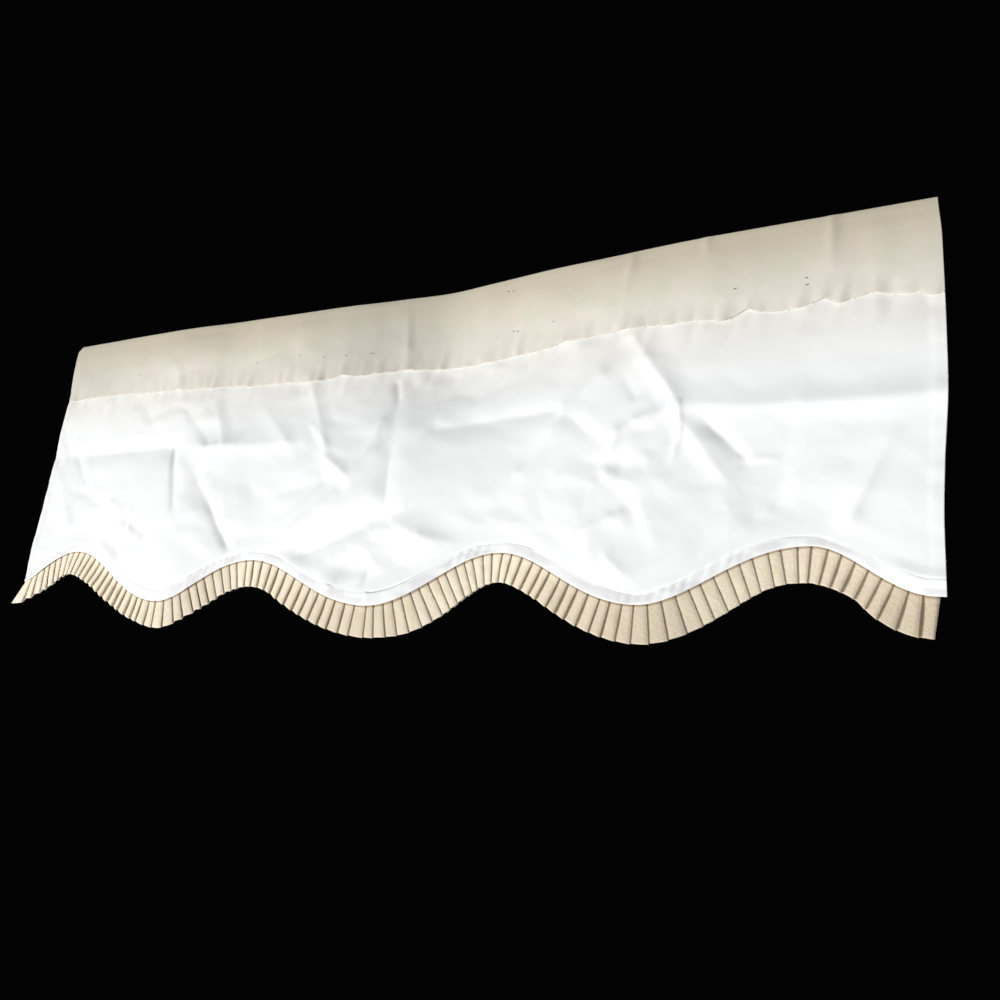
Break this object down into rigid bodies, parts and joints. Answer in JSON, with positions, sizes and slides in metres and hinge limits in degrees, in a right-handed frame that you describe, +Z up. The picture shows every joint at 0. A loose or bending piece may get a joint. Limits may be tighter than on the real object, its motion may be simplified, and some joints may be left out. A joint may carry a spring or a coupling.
{
  "type": "window valance",
  "caption": "Flat cloth window valance with a folded-over heading band, a wavy lower edge and knife-pleated trim sewn behind it.",
  "frame": {"origin": "middle of the top edge, on the cloth's middle surface", "axes": "+X along the valance to the viewer's right, -Y out towards the viewer, +Z up"},
  "size_m": [1.2003, 0.0326, 0.4144],
  "materials": {
    "white_cloth": "smooth white satin weave with a soft sheen",
    "heading_cotton": "matt off-white cotton",
    "trim_canvas": "matt beige canvas"
  },
  "bodies": {
    "root": {"panel": "white_cloth", "heading_band": "heading_cotton", "pleated_trim": "trim_canvas"}
  },
  "joints": []
}
